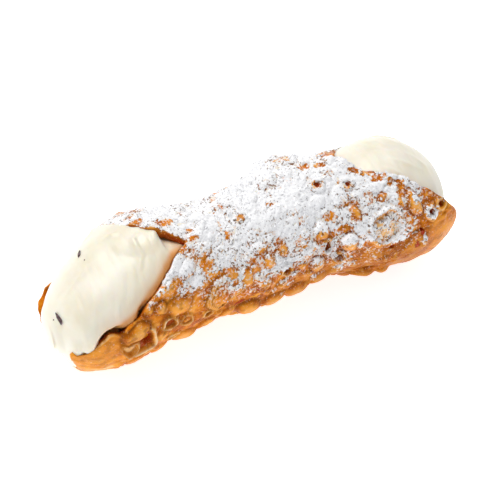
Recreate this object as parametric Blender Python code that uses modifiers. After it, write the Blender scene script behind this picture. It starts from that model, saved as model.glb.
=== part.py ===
"""A filled cannolo: a blistered tube of fried dough, open in a scoop at each end, and its ricotta cream."""

import math

import bmesh
import bpy
import numpy as np
from mathutils import Vector, noise

MM = 0.001

# The dough sheet is laid out flat as (place along the tube in mm, degrees round the tube from
# the underside, plus towards the front). Its four edges are drawn through these points.
FRONT_EDGE = ((-62, 86), (-54, 98), (-47, 106), (-40, 121), (-28, 147), (-20, 168), (-6, 206),
              (8, 230), (20, 221), (30.5, 194), (35, 176), (43, 161), (52, 139), (59, 127), (62.5, 115))
BACK_EDGE = ((-64.5, -60), (-58, -72), (-52, -86), (-46, -112), (-42, -138), (-36, -163), (-28, -187),
             (-16, -205), (8, -200), (24, -180), (34, -158), (40, -134), (46, -114), (54, -100), (60, -90))
LEFT_EDGE = ((-60, -64.5), (-45, -65.5), (-20, -65), (10, -63), (40, -62.5), (62, -65), (76, -66.5), (86, -62))
RIGHT_EDGE = ((-90, 60), (-50, 62), (20, 62.5), (80, 63.5), (101, 64.5), (115, 62.5))

# Outer radius of the tube along its length, read down the back of the top and the front of the foot.
TOP_RADIUS = ((-68, 18.6), (-56, 19), (-48, 20.2), (-42, 21.8), (-33, 22.8), (-26, 21.5), (-18, 20.2),
              (-10, 19.6), (-4, 19.5), (3, 20.2), (9, 21.8), (13, 22.8), (18, 22.6), (24, 22.2), (32, 22),
              (40, 21), (52, 20), (66, 19))
FOOT_RADIUS = ((-68, 18.5), (-60, 21.3), (-54, 22.6), (-46, 22.6), (-36, 21.8), (-26, 21), (-20, 20.2),
               (-10, 20.2), (-3, 20.8), (4, 20.3), (10, 19), (18, 18.3), (26, 18.8), (33, 20.9), (40, 22),
               (48, 22.6), (54, 21.8), (60, 20.3), (65, 18))
FOOT_DIRECTION = -46.0

WALL = 2.0 * MM
SEAM_STEP = 1.25 * MM
SEAM_STARTS = 95.0
SEAM_ENDS = 155.0
LUMP_HEIGHT = 0.45 * MM
LUMP_SIZE = 7.0
LUMP_RING = 20.0
FOOT_FLAT = 0.8 * MM
SHEET_CELLS = (36, 48)

# The cream runs the whole length and swells up where the dough leaves it open. Its rings are
# circles between these two lines: distance from the middle of the tube to the back of the top
# and to the front of the foot. Under the dough a wall's thickness and a gap hold it in, and in a
# mouth it may rise by MOUTH_SLOPE for each degree past MOUTH_MARGIN from the dough's edge.
CREAM_TOP = ((-70, -4), (-69.4, -1.5), (-67.2, 3), (-62, 9), (-57, 13.4), (-52, 16.8), (-47, 19), (-42, 20.3),
             (-36, 20.3), (-30, 18.8), (-24, 16.6), (-18, 15.8), (24, 15.8), (30, 16.6), (36, 18.8),
             (42, 20.5), (48, 20.8), (54, 19.8), (59, 17.2), (63, 13.6), (66, 8.6), (67.4, 3), (67.7, 0))
CREAM_FOOT = ((-70, 4), (-69.7, 8.5), (-68.8, 12.5), (-66.5, 15.2), (-61, 16), (-50, 15.6), (-30, 15.6),
              (24, 15.8), (40, 17.6), (50, 18), (57, 16.6), (62, 13), (65.6, 8.5), (67.2, 3.5), (67.7, 0))
CREAM_CELLS = (36, 32)
DOUGH_COVERS = (-64.5, 62.5)
MOUTH_SLOPE = 0.35 * MM
MOUTH_MARGIN = 6.0
GAP = 0.6 * MM

SHELL_COLOUR = (0.62, 0.27, 0.07, 1.0)
CREAM_COLOUR = (0.90, 0.84, 0.68, 1.0)


def clear_scene():
    for obj in list(bpy.data.objects):
        bpy.data.objects.remove(obj, do_unlink=True)


def smooth_line(points, at):
    """A curve through the points with no corners, read at one place."""
    xs = np.array([p[0] for p in points], float)
    ys = np.array([p[1] for p in points], float)
    slopes = np.gradient(ys, xs)
    at = min(max(at, xs[0]), xs[-1])
    i = min(int(np.searchsorted(xs, at, side="right")) - 1, len(xs) - 2)
    span = xs[i + 1] - xs[i]
    t = (at - xs[i]) / span
    return (
        ys[i] * (1 + 2 * t) * (1 - t) ** 2
        + ys[i + 1] * t * t * (3 - 2 * t)
        + span * slopes[i] * t * (1 - t) ** 2
        - span * slopes[i + 1] * t * t * (1 - t)
    )


def ease(value):
    value = min(max(value, 0.0), 1.0)
    return value * value * (3 - 2 * value)


def sheet_point(u, v):
    """Place along (mm) and degrees round for a point of the sheet; u and v run from 0 to 1."""
    back = BACK_EDGE[0][0] + (BACK_EDGE[-1][0] - BACK_EDGE[0][0]) * u
    front = FRONT_EDGE[0][0] + (FRONT_EDGE[-1][0] - FRONT_EDGE[0][0]) * u
    left = LEFT_EDGE[0][0] + (LEFT_EDGE[-1][0] - LEFT_EDGE[0][0]) * v
    right = RIGHT_EDGE[0][0] + (RIGHT_EDGE[-1][0] - RIGHT_EDGE[0][0]) * v
    edges = (
        (1 - v) * np.array((back, smooth_line(BACK_EDGE, back)))
        + v * np.array((front, smooth_line(FRONT_EDGE, front)))
        + (1 - u) * np.array((smooth_line(LEFT_EDGE, left), left))
        + u * np.array((smooth_line(RIGHT_EDGE, right), right))
    )
    corners = (
        (1 - u) * (1 - v) * np.array(BACK_EDGE[0])
        + u * (1 - v) * np.array(BACK_EDGE[-1])
        + (1 - u) * v * np.array(FRONT_EDGE[0])
        + u * v * np.array(FRONT_EDGE[-1])
    )
    return edges - corners


def tube_radius(along, turn):
    """Outer radius in metres at a place along (mm) and a direction (degrees, 0 front, 90 up)."""
    foot = smooth_line(FOOT_RADIUS, along)
    top = smooth_line(TOP_RADIUS, along)
    share = 0.5 - 0.5 * math.cos(math.radians(turn - FOOT_DIRECTION))
    radius = (foot + (top - foot) * share) * MM
    angle = math.radians(turn)
    spot = Vector((along, LUMP_RING * math.cos(angle), LUMP_RING * math.sin(angle))) / LUMP_SIZE
    lump = noise.noise(spot)
    return radius + LUMP_HEIGHT * lump


def seam_step(round_degrees):
    """The front flap steps out and the back flap in, so that one lies on the other."""
    step = ease((abs(round_degrees) - SEAM_STARTS) / (SEAM_ENDS - SEAM_STARTS))
    return math.copysign(SEAM_STEP * step, round_degrees)


def tube_point(along, turn, radius):
    angle = math.radians(turn)
    return Vector((along * MM, -radius * math.cos(angle), radius * math.sin(angle)))


def add_object(name, bm, colour, roughness, collection):
    mesh = bpy.data.meshes.new(name)
    bm.to_mesh(mesh)
    bm.free()
    material = bpy.data.materials.new(name)
    material.use_nodes = True
    shader = material.node_tree.nodes["Principled BSDF"]
    shader.inputs["Base Color"].default_value = colour
    shader.inputs["Roughness"].default_value = roughness
    shader.inputs["Metallic"].default_value = 0.0
    mesh.materials.append(material)
    obj = bpy.data.objects.new(name, mesh)
    collection.objects.link(obj)
    return obj


def roll_dough(collection):
    """A flat grid bent round the tube, given its thickness inwards."""
    bm = bmesh.new()
    bmesh.ops.create_grid(bm, x_segments=SHEET_CELLS[0], y_segments=SHEET_CELLS[1], size=1.0)
    for vert in bm.verts:
        along, degrees = sheet_point(0.5 + vert.co.x / 2, 0.5 + vert.co.y / 2)
        turn = degrees - 90
        vert.co = tube_point(along, turn, tube_radius(along, turn) + seam_step(degrees))
    foot = min(vert.co.z for vert in bm.verts) + FOOT_FLAT
    for vert in bm.verts:
        vert.co.z = max(vert.co.z, foot)
    bmesh.ops.recalc_face_normals(bm, faces=bm.faces[:])
    lowest = min(bm.faces, key=lambda face: face.calc_center_median().z)
    if lowest.normal.z > 0:  # the outside of the tube has to face out before it gets its wall
        bmesh.ops.reverse_faces(bm, faces=bm.faces[:])
    shell = add_object("shell", bm, SHELL_COLOUR, 0.55, collection)
    wall = shell.modifiers.new("wall", "SOLIDIFY")
    wall.thickness = WALL
    wall.offset = -1.0
    return shell


def degrees_into_mouth(along, turn):
    """How far (degrees) this direction lies inside the bare mouth; below zero under the dough."""
    front = smooth_line(FRONT_EDGE, along) - 90
    back = smooth_line(BACK_EDGE, along) + 270
    half = (back - front) / 2
    off = abs((turn - (back + front) / 2 + 180) % 360 - 180)
    return half - off


def cream_point(along, turn):
    """A point of the cream's surface: full rings, held in by the wall where the dough covers them."""
    top = smooth_line(CREAM_TOP, along) * MM
    foot = smooth_line(CREAM_FOOT, along) * MM
    point = tube_point(along, turn, (top + foot) / 2)
    point += tube_point(0, FOOT_DIRECTION + 180, (top - foot) / 2)
    if not DOUGH_COVERS[0] < along < DOUGH_COVERS[1]:
        return point
    radius = math.hypot(point.y, point.z)
    turn = math.degrees(math.atan2(point.z, -point.y))
    inside = tube_radius(along, turn) - SEAM_STEP - WALL - GAP
    limit = inside + MOUTH_SLOPE * max(0.0, degrees_into_mouth(along, turn) - MOUTH_MARGIN)
    return tube_point(along, turn, min(radius, limit))


def fill_with_cream(collection):
    """Rings of cream from one domed end to the other."""
    bm = bmesh.new()
    bmesh.ops.create_uvsphere(bm, u_segments=CREAM_CELLS[1], v_segments=CREAM_CELLS[0], radius=1.0)
    left = CREAM_TOP[0][0]
    right = CREAM_TOP[-1][0]
    for vert in bm.verts:
        # The height of a point on the ball sets its place along the tube, close-set at the ends.
        along = (left + right) / 2 + (right - left) / 2 * max(-1.0, min(1.0, vert.co.z))
        turn = math.degrees(math.atan2(vert.co.y, vert.co.x))
        vert.co = cream_point(along, turn)
    if bm.calc_volume(signed=True) < 0:
        bmesh.ops.reverse_faces(bm, faces=bm.faces[:])
    return add_object("filling", bm, CREAM_COLOUR, 0.4, collection)


def stand_on_floor(objects):
    """Centres the whole over the origin with its lowest point at zero."""
    bpy.context.view_layer.update()
    graph = bpy.context.evaluated_depsgraph_get()
    points = []
    for obj in objects:
        mesh = obj.evaluated_get(graph).to_mesh()
        points += [vert.co.copy() for vert in mesh.vertices]
    low = Vector([min(p[i] for p in points) for i in range(3)])
    high = Vector([max(p[i] for p in points) for i in range(3)])
    shift = Vector((-(low.x + high.x) / 2, -(low.y + high.y) / 2, -low.z))
    for obj in objects:
        for vert in obj.data.vertices:
            vert.co += shift
    print("size mm", [round(v * 1000, 2) for v in high - low], "shift", [round(v * 1000, 2) for v in shift])


clear_scene()
cannolo = bpy.data.collections.new("cannolo")
bpy.context.scene.collection.children.link(cannolo)
stand_on_floor([roll_dough(cannolo), fill_with_cream(cannolo)])
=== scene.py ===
# %% [markdown]
# # A filled cannolo
#
# A cannolo is a sheet of wine dough rolled round a metal tube, fried until it blisters, and filled
# with sweet ricotta cream. This lesson builds one on top of its measured solids: the rolled dough
# with real blisters, the cream that swells out of both mouths, the chocolate in the cream, and the
# powdered sugar that fell on it from above. Every length below is in millimetres until the last
# moment, because a pastry is easier to think about in millimetres than in metres.

# %% Load the measured frame
import math

import bmesh
import bpy
import numpy as np
from mathutils import Matrix, Vector, noise
from mathutils.bvhtree import BVHTree


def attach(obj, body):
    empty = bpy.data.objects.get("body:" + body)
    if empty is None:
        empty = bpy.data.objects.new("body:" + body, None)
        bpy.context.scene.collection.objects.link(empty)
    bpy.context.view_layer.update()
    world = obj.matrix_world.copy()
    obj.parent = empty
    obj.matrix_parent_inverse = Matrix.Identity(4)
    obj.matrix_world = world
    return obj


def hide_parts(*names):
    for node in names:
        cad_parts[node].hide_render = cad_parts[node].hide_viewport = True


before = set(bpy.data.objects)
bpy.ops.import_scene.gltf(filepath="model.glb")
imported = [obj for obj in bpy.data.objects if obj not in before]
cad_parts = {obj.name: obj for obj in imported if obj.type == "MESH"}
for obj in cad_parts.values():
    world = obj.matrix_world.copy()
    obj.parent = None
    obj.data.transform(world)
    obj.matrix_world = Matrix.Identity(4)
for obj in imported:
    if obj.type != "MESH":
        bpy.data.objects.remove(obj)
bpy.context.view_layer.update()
MM = 0.001
chance = np.random.default_rng(29)  # a fixed seed, so that every run scatters the same way

# %% [markdown]
# ## Curves, steps and drifts
#
# Three small tools shape everything. A smooth line runs through a few points with no corners, and
# stands for an edge of the dough or the swell of the tube. An ease is a soft step from 0 to 1. A
# drift is Perlin noise, the gentle unevenness of anything made by hand. They work on whole arrays of
# points at once, which keeps a sheet of a hundred thousand points quick.


# %% Curves, steps and drifts
def smooth_line(points, at):
    xs, ys = np.array(points, float).T
    slopes = np.gradient(ys, xs)
    at = np.clip(at, xs[0], xs[-1])
    i = np.clip(np.searchsorted(xs, at, side="right") - 1, 0, len(xs) - 2)
    span = xs[i + 1] - xs[i]
    t = (at - xs[i]) / span
    return (
        ys[i] * (1 + 2 * t) * (1 - t) ** 2
        + ys[i + 1] * t * t * (3 - 2 * t)
        + span * slopes[i] * t * (1 - t) ** 2
        - span * slopes[i + 1] * t * t * (1 - t)
    )


def ease(start, end, value):
    t = np.clip((value - start) / (end - start), 0.0, 1.0)
    return t * t * (3 - 2 * t)


def bump_at(middle, width, value):
    return np.exp(-(((value - middle) / width) ** 2))


def drift(points, size, seed=0):
    spots = np.asarray(points, float) / size + seed * 17.31
    return np.array([noise.noise(spot) for spot in spots.tolist()])


print("an ease from 0 to 1, a quarter of the way:", round(float(ease(0, 1, 0.25)), 3))


# %% [markdown]
# ## The rolled sheet of dough
#
# The real shell starts as a flat piece of dough. Its two long flaps lap over each other on top of the
# tube and its ends sag into scoops. So the sheet is drawn flat first: a place along the tube, and
# degrees round it from the underside, positive towards the front. The four edges are smooth lines,
# and a Coons patch, the mean of the four edges less the corners, spreads a square grid between them.


# %% Lay out the sheet
# (along mm, degrees round) for the front and back edges, (degrees round, along mm) for the two ends
FRONT_EDGE = (
    (-62.6, 89), (-58, 94), (-53.5, 99), (-47, 104), (-43.5, 107.5), (-40, 116), (-34, 131.5),
    (-28, 146), (-20, 168), (-6, 206), (8, 230), (20, 221), (30.5, 194), (35, 176), (43, 161),
    (52, 140), (58.8, 130), (61.2, 120),
)
BACK_EDGE = (
    (-60.2, -76), (-57, -70), (-52, -70), (-48.5, -80), (-45.4, -112), (-42.2, -144), (-36, -177),
    (-28, -192), (-22, -206), (-14, -212), (8, -200), (24, -180), (32.5, -157), (38, -134), (46, -114),
    (54, -100), (60, -90),
)
LEFT_EDGE = (
    (-76, -60.2), (-62, -62.3), (-50, -64.9), (-40, -65.9), (-20, -65.2), (10, -63), (40, -62.2),
    (62, -64.0), (76, -65.0), (89, -62.6),
)
RIGHT_EDGE = (
    (-90, 60), (-50, 62), (20, 62.5), (80, 65.1), (94, 65.1), (107, 63.8), (120, 61.2),
)


def between(edge, share):
    """A share of the way from the first place on an edge to its last."""
    return edge[0][0] + (edge[-1][0] - edge[0][0]) * share


def lay_out(u, v):
    """Along (mm) and degrees round for grid shares u, v from 0 to 1."""
    back, front = between(BACK_EDGE, u), between(FRONT_EDGE, u)
    left, right = between(LEFT_EDGE, v), between(RIGHT_EDGE, v)
    along = (1 - v) * back + v * front
    along = along + (1 - u) * smooth_line(LEFT_EDGE, left) + u * smooth_line(RIGHT_EDGE, right)
    degrees = (1 - v) * smooth_line(BACK_EDGE, back) + v * smooth_line(FRONT_EDGE, front)
    degrees = degrees + (1 - u) * left + u * right
    for i, corner in enumerate((BACK_EDGE[0], BACK_EDGE[-1], FRONT_EDGE[0], FRONT_EDGE[-1])):
        share = (u if i % 2 else 1 - u) * (v if i > 1 else 1 - v)
        along = along - share * corner[0]
        degrees = degrees - share * corner[1]
    return along, degrees


print("the sheet runs from", LEFT_EDGE[3][1], "to", RIGHT_EDGE[3][1], "mm along the tube")


# %% [markdown]
# ## Bending it round the tube
#
# Fried dough never stays a true cylinder. This one flares at both feet, has a waist left of the
# middle and a hump where two layers lie on each other. Two smooth lines hold that: the radius down
# the back of the top, and the radius down the front of the foot. Every other direction is a cosine
# blend of the two. Near the lap the front flap steps out and the back flap steps in.


# %% Bend it round the tube
# (along mm, radius mm) down the back of the top, then down the front of the foot
TOP_RADIUS = (
    (-68, 18.6), (-56, 18.7), (-48, 19.4), (-42, 21.0), (-38, 22.2), (-33, 22.8), (-26, 21.5),
    (-18, 19.5), (-13, 18.5), (-9, 18.8), (-4, 19.2), (3, 20.0), (9, 21.3), (13, 22.8), (18, 22.6),
    (24, 22.2), (32, 22), (40, 21), (52, 20), (66, 19),
)
FOOT_RADIUS = (
    (-68, 18.5), (-60, 22), (-54, 23.4), (-46, 22.8), (-38, 20.9), (-26, 19.8), (-20, 19.0), (-10, 18.9),
    (-3, 19.8), (4, 19.1), (10, 18.2), (18, 17.5), (26, 17.9), (33, 19.7), (40, 20.9), (48, 21.7),
    (54, 21.2), (60, 20.3), (65, 18),
)
FOOT_DIRECTION = -46.0  # degrees, and the top is opposite
TUBE_MIDDLE = np.array((1.15, -0.17, 21.68))
WALL = 1.9
SEAM_STEP = 1.25  # mm that the front flap steps out, and the back flap in
MEAN_RADIUS = 20.0
ARC = math.radians(MEAN_RADIUS)  # mm of dough for one degree round the tube
SHEET_LENGTH, SHEET_GIRTH = 131, 140  # mm along the tube and round it


def tube_radius(along, turn):
    foot, top = smooth_line(FOOT_RADIUS, along), smooth_line(TOP_RADIUS, along)
    return foot + (top - foot) * (0.5 - 0.5 * np.cos(np.radians(turn - FOOT_DIRECTION)))


def seam_step(degrees):
    return SEAM_STEP * np.sign(degrees) * ease(95, 155, np.abs(degrees))


def wrap(along, turn, radius):
    """Points in mm at a place along, a direction (0 front, 90 up) and a radius."""
    angle = np.radians(turn)
    return np.stack((along, -radius * np.cos(angle), radius * np.sin(angle)), -1) + TUBE_MIDDLE


for direction in (FOOT_DIRECTION + 180, FOOT_DIRECTION):
    radius = round(float(tube_radius(0.0, direction)), 1)
    print("middle of the tube, at", direction, "degrees: radius", radius, "mm")


# %% [markdown]
# ## Blisters
#
# Wine dough blisters because steam lifts its thin skin in the hot oil. A blister is a dome, and some
# burst: a ring with a hole, a wide dish, a torn cavity. Sculpting them by hand would take days, and a
# bump map would leave the outline smooth, so each is a real rise or dip of the sheet, worked out from
# its distance to the blister's middle. The large ones are listed one by one, in the places where this
# pastry has them, and the small ones are scattered without touching the large.


# %% Name the large blisters
# Kind, along mm, direction degrees, half length mm, half width mm, lean degrees, height mm
LARGE_BLISTERS = (
    # left of the front, where the sugar ends early
    ("cavity", -45.3, -6.0, 5.6, 5.3, 15, 1.0),
    ("dome", -46.4, 6.0, 4.8, 2.5, 20, 1.8),
    ("dish", -48.8, -9.5, 2.9, 2.9, 10, 1.3),
    ("pit", -43.2, -6.0, 2.0, 3.0, 20, 3.0),
    ("ring", -35.3, 1.4, 2.8, 2.7, 0, 1.3),
    ("button", -29.6, -3.5, 2.4, 2.3, 0, 0.8),
    ("dome", -37.5, 19.9, 2.2, 2.1, 0, 1.7),
    ("ridge", -34.5, 34.0, 4.2, 1.9, 15, 1.1),
    ("dome", -32.0, 15.5, 4.4, 3.4, 0, 1.1),
    ("ring", -34.1, -20.8, 2.5, 1.5, 0, 0.9),
    ("ring", -22.2, -8.0, 2.0, 1.7, 0, 0.6),
    ("fan", -15.8, 10.5, 6.6, 4.7, 22, 1.5),
    ("pit", -10.9, -13.0, 2.5, 1.0, 20, 2.2),
    ("pit", -17.6, -2.4, 1.6, 0.7, 10, 1.6),
    ("pit", -4.4, 0.8, 1.7, 1.3, 40, 1.9),
    # the scalloped lower edge
    ("dome", -46.5, -36.0, 3.4, 2.8, 0, 0.8),
    ("dome", -38.0, -37.0, 3.2, 3.0, 0, 1.0),
    ("dome", -29.5, -33.0, 4.2, 3.4, 0, 1.5),
    ("dome", -21.8, -29.0, 3.4, 3.0, 0, 1.1),
    ("dome", -15.2, -22.0, 2.8, 2.6, 0, 0.9),
    ("dome", -7.6, -27.0, 4.0, 4.4, 0, 2.0),
    ("dome", 1.2, -27.0, 4.4, 3.8, 0, 1.5),
    ("dome", 9.6, -31.0, 4.2, 4.4, 0, 1.9),
    ("dome", 16.8, -22.0, 3.4, 3.4, 0, 1.4),
    ("dome", 23.0, -19.0, 2.8, 2.6, 0, 1.0),
    ("ridge", 33.0, -38.0, 5.2, 2.4, 0, 1.6),
    ("pit", 33.4, -27.5, 4.2, 1.1, 0, 2.0),
    # the middle of the front
    ("dome", -8.3, 17.5, 1.9, 3.6, 5, 1.2),
    ("dome", -12.9, 25.0, 2.2, 3.0, 0, 0.9),
    ("dome", -5.7, 25.2, 1.4, 1.3, 0, 0.7),
    ("dome", -0.6, 27.0, 1.9, 2.5, 10, 1.2),
    ("dome", 4.3, 33.5, 1.8, 2.4, 0, 1.2),
    ("ring", 4.9, 11.0, 2.2, 2.1, 0, 0.9),
    ("dome", 10.0, 10.0, 1.4, 1.7, 0, 0.9),
    ("dome", -3.0, 6.0, 2.4, 2.8, 0, 0.9),
    ("dome", 15.3, 6.5, 2.7, 3.0, 0, 2.4),
    ("dome", 17.7, 38.0, 2.8, 2.9, 0, 2.1),
    ("ring", 19.3, 21.0, 1.6, 3.2, -12, 0.9),
    ("ring", 23.1, 4.9, 2.5, 2.3, 0, 1.4),
    ("dome", 26.2, 19.5, 2.9, 3.3, 12, 2.8),
    ("dome", 29.8, 45.0, 1.4, 2.6, 22, 1.0),
    # the right end
    ("dish", 39.2, 24.0, 5.6, 5.2, 25, 1.0),
    ("ridge", 35.0, 12.0, 1.4, 4.4, 40, 1.4),
    ("ridge", 44.8, 43.0, 0.9, 3.6, 25, 0.9),
    ("dome", 49.2, 37.0, 2.4, 4.2, 20, 2.6),
    ("donut", 54.9, 24.6, 3.0, 3.1, 0, 1.6),
    ("donut", 59.0, 28.4, 2.6, 2.6, 0, 1.0),
    ("valley", 47.2, 3.4, 1.9, 6.0, -40, 1.1),
    ("pit", 51.2, 8.4, 0.9, 1.8, 15, 1.6),
    ("pit", 49.6, -4.6, 0.9, 2.2, 5, 1.6),
    ("ridge", 51.9, -3.0, 1.3, 3.2, -15, 1.7),
    ("pit", 40.7, 1.6, 1.2, 0.8, 0, 1.0),
    # the top
    ("donut", 21.1, 76.0, 2.8, 2.3, 0, 1.1),
    ("donut", 30.4, 69.2, 2.3, 2.0, 0, 0.9),
    ("donut", -5.3, 72.4, 2.1, 1.8, 0, 0.8),
    ("dome", 4.5, 75.0, 1.5, 1.2, 0, 0.6),
    ("ridge", -7.5, 80.0, 7.0, 1.0, -48, 0.8),
    ("dome", -27.5, 91, 3.4, 1.7, 0, 1.0),
    ("dome", 38.3, 59.3, 4.2, 1.5, 0, 0.9),
    ("dome", 40.3, 49.5, 2.0, 1.3, 0, 0.8),
)
# Places that little sugar stuck to: along mm, direction degrees, half length mm, half width mm, and how
# bare it is. Below 0 the place caught sugar.
BARE_PLACES = (
    # left third
    (-49, 50, 2.2, 1.4, 0.6), (-44.5, 122, 3.0, 3.0, 1.6), (-43, 38, 2.0, 3.0, 0.8),
    (-38, 50, 3.0, 3.0, 0.7), (-36, 112, 2.2, 1.2, 0.8), (-35.5, 101, 2.2, 1.3, 0.9),
    (-35, 24, 4.0, 2.2, 0.9), (-33, 36, 3.2, 1.6, 0.8), (-29, 72, 3.0, 2.2, 0.7),
    (-28, 20, 2.6, 1.6, 0.8), (-27.5, 91, 3.2, 1.4, 1.1), (-26, 60, 2.0, 1.6, 0.6),
    (-22, 24, 1.4, 2.0, 0.5), (-21.4, 67.6, 1.2, 1.1, 0.9), (-21, 78, 1.6, 1.0, 0.9),
    (-20.3, 43.5, 1.5, 1.6, 1.0),
    # middle
    (-16.5, 29, 2.6, 1.3, 0.8), (-12.6, 24.5, 1.7, 2.6, 0.8), (-12.0, 79, 0.5, 3.4, 0.7),
    (-11.0, 100, 0.5, 4.0, 0.6), (-11, 62, 1.2, 1.0, 0.6), (-9, 86, 0.6, 5.0, 0.6),
    (-8.3, 17, 1.6, 3.0, 1.1), (-5.4, 24, 1.4, 1.4, 1.0), (-5.3, 71.5, 1.3, 1.2, 0.8),
    (-5.2, 130, 1.7, 0.7, 1.3), (-0.8, 127, 1.5, 0.7, 1.3), (-0.6, 26.0, 1.5, 2.2, 0.9),
    (3.9, 38, 1.6, 2.2, 1.0), (4.3, 32.5, 1.4, 2.0, 1.0), (4.9, 9.5, 2.2, 1.6, 1),
    (5.0, 75.0, 1.2, 1.0, 0.7), (10, 9, 1.3, 1.5, 0.8), (10.8, 3.3, 1.8, 2.0, 0.8),
    (12, 53, 1.2, 1.2, 0.6), (15.3, 1.5, 2.5, 1.8, 1.4), (17.7, 33, 2.6, 1.6, 1.1),
    # right third
    (20.5, 31, 1.8, 1.3, 0.9), (20.8, 96.8, 1.7, 1.0, 1.2), (21.1, 75.0, 1.8, 1.4, 0.9),
    (21.5, 48, 1.6, 1.2, 0.6), (23.1, 0, 2.2, 1.2, 0.9), (25.1, 94.3, 2.0, 1.1, 0.9),
    (25.5, 34, 2.4, 1.5, 0.8), (26.4, 13.5, 2.9, 2.0, 1.4), (28.0, 73.6, 1.2, 0.8, 0.8),
    (30.1, 44.6, 1.4, 2.5, 1.5), (30.3, 68, 1.3, 1.2, 0.8), (31, 101, 2.6, 1.4, 1.0),
    (31, 119, 3.6, 2.6, 1.4), (33, 12, 2.4, 1.4, 0.7), (34.4, 79, 2.4, 0.9, 0.9),
    (35.5, 121, 5.0, 4.0, 1.9), (36, 33, 1.2, 1.6, 0.5), (37.6, 75, 3.0, 1.2, 1.0),
    (39.2, 22.5, 3.6, 3.4, 0.5), (40.0, 51.2, 2.0, 1.2, 1.2), (41.1, 66, 3.2, 1.3, 1.1),
    (44.8, 58, 2.6, 1.2, 1.0), (44.8, 43, 0.8, 2.6, 0.9), (46, 25, 1.6, 2.6, 0.5),
    (46.6, 50, 1.5, 2.2, 1.1), (47.5, 36, 0.9, 4.0, 0.8), (49.9, 31.0, 2.8, 1.8, 1.4),
    (51, 18, 3.0, 2.4, 0.6), (55.6, 38, 3.0, 2.8, 1.2),
    # folds and rings that caught sugar
    (-43.6, 19.0, 2.6, 0.9, -0.8), (-40.6, 26.5, 2.6, 0.9, -0.9), (-37.6, 34, 2.4, 1.0, -0.8),
    (-37.2, 22.5, 1.4, 1.0, -1.0), (-35, 41, 2.2, 1.0, -0.6), (43.6, 8.5, 3.0, 1.4, -0.9),
    (51.9, -3.0, 1.3, 3.0, -1.5), (54.7, 24.7, 2.8, 2.8, -1.2),
)
print("large blisters:", len(LARGE_BLISTERS), "places with little or much sugar:", len(BARE_PLACES))


# %% Scatter the small blisters
def scatter_blisters(count):
    """Small blisters at random, kept clear of each other's middles and of the large ones."""
    kept = []
    large = np.array([(b[1], (b[2] + 90) * ARC, max(b[3], b[4]) + 0.5) for b in LARGE_BLISTERS])
    for _ in range(count * 6):
        along, arc = chance.uniform(-67, 66), chance.uniform(-208, 232) * ARC
        size = 0.8 + 2.4 * chance.random() ** 1.8
        if along > 43 and -95 * ARC < arc < 92 * ARC:  # the right foot is smooth
            continue
        if (np.hypot(large[:, 0] - along, large[:, 1] - arc) < large[:, 2] + size * 0.5).any():
            continue
        if kept:
            near = np.array(kept)
            if (np.hypot(near[:, 0] - along, near[:, 1] - arc) < 0.85 * (near[:, 2] + size)).any():
                continue
        kept.append((along, arc, size))
        if len(kept) == count:
            break
    return kept


small_blisters = []
for along, arc, size in scatter_blisters(900):
    low_down = abs((arc / ARC - 90 + 180) % 360 - 180 - 90) > 95
    kind = "ring" if size > 1.1 and low_down and along > -44 and chance.random() < 0.15 else "dome"
    stretch = chance.uniform(0.85, 1.2)
    small_blisters.append(
        (kind, along, arc / ARC - 90, size * stretch, size / stretch, chance.uniform(0, 180),
         size * chance.uniform(0.28, 0.5))
    )
print("small blisters:", len(small_blisters))


# %% Raise the blisters
def blister_profile(kind, out, height):
    """Rise in mm, paleness and darkness at a distance out from the middle, where 1 is the foot."""
    # The darkness returned is painted shade: round each blister's foot, in hollows, pits and the fan's lines.
    foot = 0.42 * bump_at(1.06, 0.15, out) * min(1.5, max(0.35, height / 1.5))
    if kind == "dome":
        golden = 0.6 * ease(0.95, 0.4, out) * min(1, max(0.4, height / 1.2))
        return height * np.clip(1 - out**2, 0, 1) ** 0.55, golden, 1.3 * foot
    if kind == "ridge":
        return height * np.clip(1 - out**2, 0, 1) ** 0.9, 0.6 * ease(1.0, 0.3, out), 0.6 * foot
    if kind == "ring":
        rise = height * bump_at(0.8, 0.2, out) - 1.3 * height * ease(0.72, 0.4, out)
        return rise, bump_at(0.82, 0.15, out), 0.8 * ease(0.68, 0.45, out) + foot
    if kind == "donut":
        rise = height * np.clip(1 - ((out - 0.6) / 0.42) ** 2, 0, 1) ** 0.7
        rise -= 0.5 * height * ease(0.44, 0.26, out)
        return rise, 0.8 * bump_at(0.68, 0.22, out), 0.92 * ease(0.42, 0.3, out) + foot
    if kind == "button":
        rise = height * bump_at(0.84, 0.14, out) + 0.7 * height * ease(0.6, 0.1, out)
        golden = 0.9 * bump_at(0.84, 0.13, out) + 0.5 * ease(0.45, 0.1, out)
        return rise, golden, 0.5 * bump_at(0.6, 0.14, out) + foot
    if kind == "fan":
        rise = height * np.clip(1 - (0.86 * out) ** 2, 0, 1) ** 0.8
        lines = bump_at(0.78, 0.05, out) + bump_at(0.93, 0.05, out) + bump_at(1.07, 0.05, out)
        shade = 0.4 * bump_at(0.86, 0.05, out) + 0.5 * bump_at(1.17, 0.08, out)
        return rise + 0.3 * lines, 0.8 * lines, shade
    if kind == "dish":
        rise = height * bump_at(0.92, 0.11, out) - 0.6 * height * ease(0.9, 0.7, out)
        golden = 0.9 * bump_at(0.92, 0.1, out) + 0.75 * ease(0.8, 0.7, out)
        return rise, golden, 0.25 * bump_at(0.74, 0.12, out) + foot
    if kind == "cavity":
        rise = 1.2 * height * bump_at(0.95, 0.11, out) - 2.2 * ease(0.93, 0.6, out)
        return rise, 1.3 * bump_at(0.95, 0.09, out), 0.8 * ease(0.86, 0.66, out) + 0.6 * foot
    if kind == "valley":
        return -height * ease(1.0, 0.2, out), 0 * out, 0.4 * ease(1.0, 0.3, out)
    return -height * ease(1.0, 0.4, out), 0 * out, 1.5 * ease(1.0, 0.55, out)


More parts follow.
